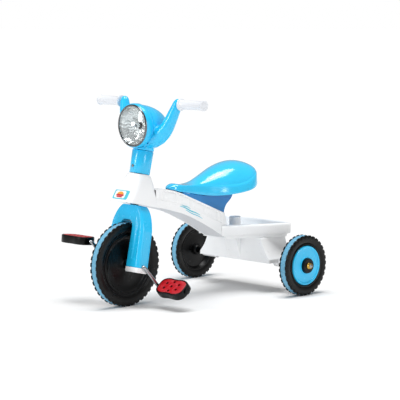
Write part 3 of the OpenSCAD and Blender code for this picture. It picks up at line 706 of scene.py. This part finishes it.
bm = bmesh.new()
wall_out = [(130, 496, 149.0), (130.5, 496.5, 156.4), (131.5, 497.4, 157.2), (136.6, 501.8, 157.4),
            (137.6, 502.6, 158.6), (138, 503, 161), (138, 503, 181), (137.4, 502.5, 184.4),
            (135.6, 500.9, 186.4), (133.2, 498.8, 187), (129.6, 495.8, 187), (127.6, 494.2, 186),
            (126.6, 493.4, 183.6), (126, 493, 180), (125, 492.2, 156), (122.5, 490, 152.8),
            (119, 487, 152)]
loft(bm, [tray_ring(*row) for row in wall_out])
tray = finish_mesh(bm, "tray_shell", WHITE, "frame", ["rear_tray"], smooth=42)
cut = bmesh.new()
recess = [(290, 140), (330.3, 140), (330.3, 200), (290, 200)]
extrude(cut, recess, lambda y, z, x: at(x, y, z), -BEAM_W - FIT, BEAM_W + FIT)
boolean(tray, cut)
# Round boss with a socket behind the saddle
bm = bmesh.new()
boss = [(11, 155), (11, BOSS_TOP - 1), (11.8, BOSS_TOP), (14.8, BOSS_TOP), (16, BOSS_TOP - 1.4),
        (16.4, 156), (19, 152.6), (19, 151.4), (4, 151.4), (4, 155)]
lathe(bm, boss, lambda z, a, b: at(a, BOSS_Y + b, z), n=64)
finish_mesh(bm, "tray_boss", WHITE, "frame", [], smooth=40)

# Axle box under the tray
bm = bmesh.new()
flank = [(135, 82)] + bend((134.5, 92), (110, 116), (104, 148.7), 10)
face = flank + [(-x, z) for x, z in reversed(flank)]
loft(bm, [[at(x, y, z) for x, z in face] for y in (404, 500)])
box = finish_mesh(bm, "axle_housing", WHITE, "frame", ["rear_axle_box"], smooth=35)
for side in (1, -1):
    cut = bmesh.new()
    inner = [(4, 78), (112, 78), (112, 104), (100, 122), (96, 145), (4, 145)]
    loft(cut, [[at(side * x, y, z) for x, z in inner] for y in (407, 497)])
    boolean(box, cut)
add_bevel(box, 6.0, 5, 30)
shade_again(box, 50)
# Keel that carries the beam down to the axle box
bm = bmesh.new()
keel = [(386, 148.7), (402, 92), (404.2, 87), (420, 86), (420, 148.7)]
loft(bm, [[at(x, y, z) for y, z in keel] for x in (-25, 25)])
finish_mesh(bm, "axle_keel", WHITE, "frame", [], smooth=35, bevel=2.4, angle=30)
for side, word in ((1, "left"), (-1, "right")):
    bm = bmesh.new()
    lathe(bm, [(5, 114), (14.6, 114), (14, 120), (14, 165.5), (12.8, 168), (5, 168)],
          lambda x, a, b, side=side: Vector((side * x, REAR[1].y + a, REAR[1].z + b)), n=64)
    finish_mesh(bm, f"{word}_axle_sleeve", WHITE, "frame", [], smooth=40)

# ---------------------------------------------------------------- fork

FORK_SIDE = bend((29, 156), (55, 141), (64, 92), 22)
LEG_IN, LEG_END, LEG_D = 22.0, -4.0, 18.0


def outer_edge(w):
    """Outer edge of the fork at height w along the steering axis."""
    if w <= 92:
        return 68.5 + (64 - 68.5) * (w - LEG_END) / (92 - LEG_END)
    pts = sorted((q[1], q[0]) for q in FORK_SIDE)
    return table_value(pts, w)


def inner_edge(w):
    """Inner edge of the fork at height w, up to the arch over the tyre."""
    if w <= 103:
        return LEG_IN
    return 8 + math.sqrt(max(0.0, 14 ** 2 - (w - 103) ** 2)) if w < 117 else 0.0


def panel_sink(x, w, fade):
    """Depth of the shallow panel in the front of each leg."""
    centre = 50 - 12 * smoothstep((w - 100) / 50)
    return (1 - smoothstep((abs(x - centre) - 8.9) / 3.0)) * fade * 1.5


def leg_ring(w, m):
    """Section of one fork leg: rounded outer front shoulder and a shallow sunken panel in front."""
    o, i = outer_edge(w), inner_edge(w)
    d, back = LEG_D, LEG_D - 3
    r = 11.0
    ring = [(i, back), (i, -d + 2.2), (i + 0.7, -d + 0.7), (i + 2.2, -d)]
    fade = smoothstep((w - 14) / 7) * (1 - smoothstep((w - 116) / 18))
    first, last = ring[-1][0], o - r
    for k in range(1, 22):
        x = first + (last - first) * k / 22
        ring.append((x, -d + panel_sink(x, w, fade)))
    for k in range(10):
        a = math.radians(90 * k / 9)
        ring.append((o - r + r * math.sin(a), -d + r - r * math.cos(a)))
    ring.append((o, back))
    return [st(m * x, v, w) for x, v in ring]


def crown_ring(w):
    """Section of the fork above the wheel, where both legs are one."""
    o = outer_edge(w)
    d, back, r = LEG_D, LEG_D - 3, 9.0
    half = []
    fade = 1 - smoothstep((w - 116) / 18)
    for k in range(26):
        x = (o - r) * k / 25
        half.append((x, -d + panel_sink(x, w, fade)))
    for k in range(1, 10):
        a = math.radians(90 * k / 9)
        half.append((o - r + r * math.sin(a), -d + r - r * math.cos(a)))
    half.append((o, back))
    return [st(x, v, w) for x, v in half] + [st(-x, v, w) for x, v in reversed(half[1:])]


bm = bmesh.new()
for m in (1, -1):
    loft(bm, [leg_ring(LEG_END + (112.0 - LEG_END) * i / 70, m) for i in range(71)])
loft(bm, [crown_ring(w) for w in [104 + 49 * i / 36 for i in range(37)] + [154.5, 155.9]])
fork = finish_mesh(bm, "fork_front_moulding", BLUE, "steering_assembly",
                   ["fork_front_shell"], smooth=180)
fuse(fork, 0.0011, 5)
# Arch over the tyre, and the bores for the column and the axle
arch = [(-LEG_IN, -10), (LEG_IN, -10)] + arc(8, 103, 14, 0, 90, 10) + arc(-8, 103, 14, 90, 180, 10)
cut = bmesh.new()
extrude(cut, arch, lambda u, w, v: st(u, v, w), -30, 30)
boolean(fork, cut)
bore(fork, st, COLUMN_R, (121, 170))
bore(fork, lambda a, b, x: st(x, a, b), ROD_BORE, (-90, 90), 32)
shade_again(fork, 42)

bm = bmesh.new()
cover = [(29, 156)] + FORK_SIDE[1:] + [(68.5, LEG_END), (LEG_IN, LEG_END)] + arc(8, 103, 14, 0, 90, 10)
cover = cover + [(-x, w) for x, w in reversed(cover)]
extrude(bm, cover, lambda u, w, v: st(u, v, w), LEG_D - 3, LEG_D)
finish_mesh(bm, "fork_back_cover", BLUE, "steering_assembly", ["fork_rear_cover"],
            smooth=35, bevel=0.9, angle=50)

for m, word in ((1, "left"), (-1, "right")):
    bm = bmesh.new()
    lip = rounded(0.5 * (68.5 - 21.5), 18.5, 3.5)
    rows = []
    for w, grow in ((-17, -1.4), (-16.2, -0.5), (-15, 0), (-5.2, 0), (-4.2, -0.6)):
        rows.append([st(m * (45 + x * (1 + grow / 24)), v * (1 + grow / 19), w) for x, v in lip])
    loft(bm, rows)
    clip = finish_mesh(bm, f"{word}_axle_cap", WHITE, "steering_assembly",
                       [f"{word}_axle_clip"], smooth=35)
    bore(clip, lambda a, b, x: st(x, a, b), ROD_BORE, (-90, 90), 32)
    shade_again(clip, 35)

# ---------------------------------------------------------------- pedals

PEDAL_HL, PEDAL_HW = 49.0, 28.0
HOLE_R = 4
PEDAL_HOLES = [(-22, -8), (-22, 8), (0, -15), (0, 0), (0, 15), (22, -8), (22, 8)]


def pedal_outline(grow, n=72):
    """Long rounded outline with a slight waist."""
    out = []
    for i in range(n):
        a = 2 * math.pi * (i + 0.5) / n
        c, q = math.cos(a), math.sin(a)
        x = (PEDAL_HL + grow) * math.copysign(abs(c) ** 0.6, c)
        waist = 3 * math.exp(-(x / 16) ** 2)
        out.append((x, (PEDAL_HW + grow - waist) * math.copysign(abs(q) ** 0.62, q)))
    return out


for side, word, pitch in ((1, "left", 40.0), (-1, "right", -5.0)):
    lo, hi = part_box(f"{word}_pedal_cap")
    spindle_y, spindle_z = (lo.y + hi.y) * 500, (lo.z + hi.z) * 500
    mid_x = side * (max(abs(lo.x), abs(hi.x)) * 1000 - 4.2 - PEDAL_HL)
    turn, lift = math.cos(math.radians(pitch)), math.sin(math.radians(pitch))

    def place(x, y, z, mid_x=mid_x, spindle_y=spindle_y, spindle_z=spindle_z, turn=turn, lift=lift):
        return Vector((mid_x + x, spindle_y + y * turn - z * lift, spindle_z + y * lift + z * turn))

    bm = bmesh.new()
    rows = []
    for z, grow in ((-10, -2.2), (-9.6, -1.0), (-8.6, -0.2), (-7.4, 0), (7.6, 0), (9.4, -0.3),
                    (10.6, -0.9), (11.2, -1.8), (11.2, -3.2), (10.4, -3.8), (8.2, -3.9)):
        rows.append([place(x, y, z) for x, y in pedal_outline(grow)])
    loft(bm, rows)
    body = finish_mesh(bm, f"{word}_pedal_shell", BLACK, f"{word}_pedal",
                       [f"{word}_pedal_body"], smooth=40)
    for sx in (-1, 1):
        for sy in (-1, 1):
            cut = bmesh.new()
            loft(cut, [[place(sx * 21 + a, sy * 14 + b, z) for a, b in rounded(16, 6.5, 2)] for z in (-20,
                                                                                                      5)])
            boolean(body, cut)
    bore(body, lambda a, b, x: place(x, a, b), ROD_BORE, (-90, 90), 32)
    shade_again(body, 38)
    bm = bmesh.new()
    loft(bm, [[place(x, y, z) for x, y in pedal_outline(grow)] for z, grow in
              ((8.4, -4.2), (10.2, -4.2), (10.9, -4.6), (11.3, -5.4))])
    pad = finish_mesh(bm, f"{word}_pedal_tread", RED, f"{word}_pedal",
                      [f"{word}_pedal_pad"], smooth=40)
    for hx, hy in PEDAL_HOLES:
        bore(pad, lambda a, b, z: place(hx + a, hy + b, z), HOLE_R, (8.0, 30), 28)
    add_bevel(pad, 0.4, 2, 40)
    # Dark floors of the holes
    bm = bmesh.new()
    for hx, hy in PEDAL_HOLES:
        loft(bm, [circle(lambda a, b: place(hx + a, hy + b, z), HOLE_R + 0.3, 28) for z in (8.1, 8.7)])
    finish_mesh(bm, f"{word}_pedal_hole_floors", BLACK, f"{word}_pedal", [], smooth=40)

# ---------------------------------------------------------------- lamp and handlebar

ARM = [(0, 330, 27), (18, 331, 27), (35, 336, 26), (53, 343, 23.5), (68, 354, 20.5), (78, 367, 18),
       (86, 384, 16.3), (92, 400, 15.2), (96, 410, 14.3), (99, 418, 13.6), (101, 425, 12.8),
       (102.3, 432, 11.2), (103.2, 438, 8), (103.6, 441, 4)]


def lamp_place(y, a, b):
    """Point about the lamp's level axis."""
    return Vector((a, FRONT.y + y, LAMP_Z + b))


def arm_rings(mirror):
    """Sections of one arm of the handlebar yoke, across its path."""
    rings = []
    for i, (x, w, r) in enumerate(ARM):
        a, b = ARM[max(0, i - 1)], ARM[min(len(ARM) - 1, i + 1)]
        length = math.hypot(b[0] - a[0], b[1] - a[1])
        dx, dw = (b[0] - a[0]) / length, (b[1] - a[1]) / length
        ring = []
        for k in range(32):
            q = 2 * math.pi * k / 32
            ring.append(st(mirror * (x - dw * r * math.cos(q)), r * math.sin(q),
                           w + dx * r * math.cos(q)))
        rings.append(ring)
    return rings


def pod_line(grow):
    """Rear outline of the lamp pod, moved inwards by grow."""
    return [(max(0.0, r - grow), y - (grow if r < 1 else 0)) for y, r in bend((49, 55), (118, 48),
                                                                              (150, 0), 24)]


def turned(profile, place, n=96):
    """Solid of revolution whose profile starts and ends on the axis."""
    out = bmesh.new()
    rings = []
    for i in range(n):
        t = 2 * math.pi * i / n
        rings.append([place(y, r * math.cos(t), r * math.sin(t)) for r, y in profile])
    loft(out, rings, closed_path=True)
    bmesh.ops.remove_doubles(out, verts=out.verts, dist=0.001)
    bad = [f for f in out.faces if f.calc_area() < 1e-9]
    bmesh.ops.delete(out, geom=bad, context="FACES")
    return out


bm = turned([(0.0, 49.0)] + pod_line(0), lamp_place)
for m in (1, -1):
    loft(bm, arm_rings(m))
loft(bm, [[st(r * math.cos(math.pi * k / 24), r * math.sin(math.pi * k / 24), w) for k in range(48)]
          for r, w in [(27.2, 300.2), (28.2, 301.4), (28.3, 331)]])
yoke = finish_mesh(bm, "handlebar_yoke", BLUE, "steering_assembly", ["handlebar_housing"],
                   smooth=180)
fuse(yoke, 0.0016, 8)
boolean(yoke, turned([(0.0, 40.0), (52.2, 40.0)] + pod_line(3), lamp_place))
boolean(yoke, turned([(0.0, 10.0), (58.4, 10.0), (58.4, 49.2), (0.0, 49.2)], lamp_place))
# A shallow joint line runs round the pod behind the lamp ring
boolean(yoke, turned([(54.0, 51.6), (62.0, 51.6), (62.0, 52.9), (54.0, 52.9)], lamp_place, 96))
# Screw pockets in the front of both arms
for m in (1, -1):
    bore(yoke, lambda a, b, v: st(m * 34 + a, v, 320 + b), 3.7, (-34, -14), 24)
shade_again(yoke, 45)

bm = bmesh.new()
prof = [(51.5, 29.6), (53.5, 28.4), (56.2, 29), (57.8, 31.5), (58, 36), (57.6, 45.5), (56.4, 48.4),
        (54, 49), (52, 48.6), (52, 36), (51.5, 34)]
lathe(bm, prof, lamp_place, n=128)
finish_mesh(bm, "lamp_front_bezel", BLUE, "steering_assembly", ["lamp_ring"], smooth=50)

bm = bmesh.new()
prof = [(50.6, 28.6), (50.6, 26.6), (51.6, 25.4), (53.4, 25.4), (54.8, 26.6), (55.4, 28.6), (54, 29.2),
        (52, 29.2)]
lathe(bm, prof, lamp_place, n=128)
finish_mesh(bm, "lamp_chrome_ring", DARK_REFLECTION_CHROME, "steering_assembly", ["lamp_trim_ring"],
            smooth=60)

bm = bmesh.new()
front = bend((50.5, 27.5), (30, 20.0), (0.01, 20.0), 14)
back = bend((0.01, 22.0), (30, 22.0), (49.6, 30.6), 14)
lathe(bm, [(50.5, 30.6)] + front + back, lamp_place, n=96)
bmesh.ops.remove_doubles(bm, verts=bm.verts, dist=0.02)
finish_mesh(bm, "lamp_clear_lens", GLASS, "steering_assembly", ["lamp_lens"], smooth=60)

# Reflector: steps of small flat facets round the bowl
bm = bmesh.new()
steps = [(50.4, 31), (44, 40.5), (37, 46.5), (29.5, 51), (21, 54), (10.2, 56)]
facets = 28
rings = []
for j, (r, y) in enumerate(steps):
    ring = []
    for i in range(facets * 2):
        t = 2 * math.pi * (i + (j % 2)) / (facets * 2)
        d = 0.9 if i % 2 else 0.0
        ring.append(lamp_place(y + d, r * math.cos(t), r * math.sin(t)))
    rings.append(ring)
for r, y in [(10.2, 58.5), (30, 54.5), (45, 45), (50.4, 35)]:
    rings.append([lamp_place(y, r * math.cos(math.pi * i / facets), r * math.sin(math.pi * i / facets))
                  for i in range(facets * 2)])
loft(bm, rings, closed_path=True)
finish_mesh(bm, "lamp_faceted_reflector", MIRROR, "steering_assembly", ["lamp_reflector"],
            smooth=8)

# Bulb socket with a narrow nose in a wider foot
bm = turned([(0.0, 53.3), (3.6, 53.3), (4.6, 54.2), (4.8, 56.4), (9.6, 57.2), (9.8, 58), (9.8, 63),
             (0.0, 63)], lamp_place, 48)
finish_mesh(bm, "lamp_bulb_socket", BLACK, "steering_assembly", ["bulb_holder"],
            smooth=35)

# Grips, in a greyer white that is painted shade
for side, word in ((1, "left"), (-1, "right")):
    bm = bmesh.new()
    lo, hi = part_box(f"{word}_grip")
    end = max(abs(lo.x), abs(hi.x)) * 1000
    prof = [(6, 113.8), (15, 113.8), (16, 114.8), (16, 116.8), (15, 117.8), (13, 118.4), (12.4, 119.8)]
    prof += [(12.4, end - 6), (12.8, end - 4.6), (13.8, end - 4), (14, end - 3), (14, end - 1.2),
             (12.8, end - 0.2), (11, end), (0.0, end), (0.0, end - 6), (6, end - 6)]
    bm = turned([(r, x) for r, x in prof], lambda x, a, b, side=side: st(side * x, a, 427 + b), 64)
    finish_mesh(bm, f"{word}_grip_sleeve", GRIP_SHADE_GREY, "steering_assembly",
                [f"{word}_grip"], smooth=50)

# Stem
bm = bmesh.new()
prof = [(11, 238.6), (26.2, 238.6), (27, 239.6), (28.2, 298.4), (27.4, 299.4), (11, 299.4)]
lathe(bm, prof, lambda w, a, b: st(a, b, w), n=96)
finish_mesh(bm, "stem_cover", BLUE, "steering_assembly", ["stem_sleeve"], smooth=40)

# ---------------------------------------------------------------- floor, light and camera

bm = bmesh.new()
FLOOR_HALF = 60
corners = [(-1, -1), (1, -1), (1, 1), (-1, 1)]
bm.faces.new([bm.verts.new((FLOOR_HALF * x, FLOOR_HALF * y, 0)) for x, y in corners])
me = bpy.data.meshes.new("floor")
bm.to_mesh(me)
bm.free()
floor = bpy.data.objects.new("floor", me)
bpy.context.scene.collection.objects.link(floor)
floor_mat = material("studio_floor", "FFFFFF", 0.7, vary=0.0, bump=0.0, specular=0.0)
me.materials.append(floor_mat)
# Painted shade: the floor's colour is darker under the tricycle, offsetting the lamps' added light there
# so that its shadows read darker
nt = floor_mat.node_tree
co = nt.nodes.new("ShaderNodeTexCoord")
distance = nt.nodes.new("ShaderNodeVectorMath")
distance.operation = "LENGTH"
fade = nt.nodes.new("ShaderNodeMapRange")
fade.interpolation_type = "SMOOTHSTEP"
fade.inputs["From Min"].default_value = 0.3
fade.inputs["From Max"].default_value = 2.6
fade.inputs["To Min"].default_value = 0.84
fade.inputs["To Max"].default_value = 1.0
nt.links.new(co.outputs["Object"], distance.inputs[0])
nt.links.new(distance.outputs["Value"], fade.inputs["Value"])
nt.links.new(fade.outputs["Result"], nt.nodes["Principled BSDF"].inputs["Base Color"])

world = bpy.data.worlds.new("studio")
bpy.context.scene.world = world
world.use_nodes = True
nt = world.node_tree
sky = nt.nodes["Background"]
sky.inputs["Color"].default_value = (1, 1, 1, 1)
sky.inputs["Strength"].default_value = 0.37
white = nt.nodes.new("ShaderNodeBackground")
white.inputs["Color"].default_value = (1, 1, 1, 1)
white.inputs["Strength"].default_value = 1.0
path = nt.nodes.new("ShaderNodeLightPath")
pick = nt.nodes.new("ShaderNodeMixShader")
nt.links.new(path.outputs["Is Camera Ray"], pick.inputs["Fac"])
nt.links.new(sky.outputs[0], pick.inputs[1])
nt.links.new(white.outputs[0], pick.inputs[2])
nt.links.new(pick.outputs[0], nt.nodes["World Output"].inputs["Surface"])
bpy.context.scene.view_settings.view_transform = "Standard"


def area(name, loc, target, width, height, power):
    """Rectangular lamp that faces its target."""
    lamp = bpy.data.lights.new(name, "AREA")
    lamp.shape = "RECTANGLE"
    lamp.size, lamp.size_y = width, height
    lamp.energy = power
    ob = bpy.data.objects.new(name, lamp)
    ob.location = loc
    ob.rotation_mode = "QUATERNION"
    ob.rotation_quaternion = (Vector(target) - Vector(loc)).to_track_quat("-Z", "Y")
    bpy.context.scene.collection.objects.link(ob)


sun_data = bpy.data.lights.new("overhead", "SUN")
sun_data.energy = 2.05
sun_data.angle = math.radians(34)
sun = bpy.data.objects.new("overhead", sun_data)
sun.rotation_euler = (math.radians(5), math.radians(0), 0)
bpy.context.scene.collection.objects.link(sun)
area("window", (0.35, 0.45, 1.9), (0.05, 0.1, 0.3), 0.8, 0.35, 6)
area("front_strip", (-0.75, -2.1, 1.15), (0, 0, 0.3), 0.3, 1.3, 15)
area("side_strip", (2.3, -0.35, 0.95), (0, 0, 0.25), 0.35, 1.1, 9)

cam_data = bpy.data.cameras.new("camera")
cam = bpy.data.objects.new("camera", cam_data)
bpy.context.scene.collection.objects.link(cam)
bpy.context.scene.camera = cam
AZ, EL, DIST = math.radians(45.708), math.radians(6.63), 4.5
TARGET = Vector((74.5, 200 + FRONT.y, 268.3)) / 1000
back_dir = Vector((math.sin(AZ) * math.cos(EL), -math.cos(AZ) * math.cos(EL), math.sin(EL)))
cam.location = TARGET + back_dir * DIST
cam.rotation_mode = "QUATERNION"
cam.rotation_quaternion = (-back_dir).to_track_quat("-Z", "Y")
cam_data.sensor_width = 36
cam_data.lens = 153.09
cam_data.clip_start, cam_data.clip_end = 0.1, 50

bpy.context.view_layer.update()
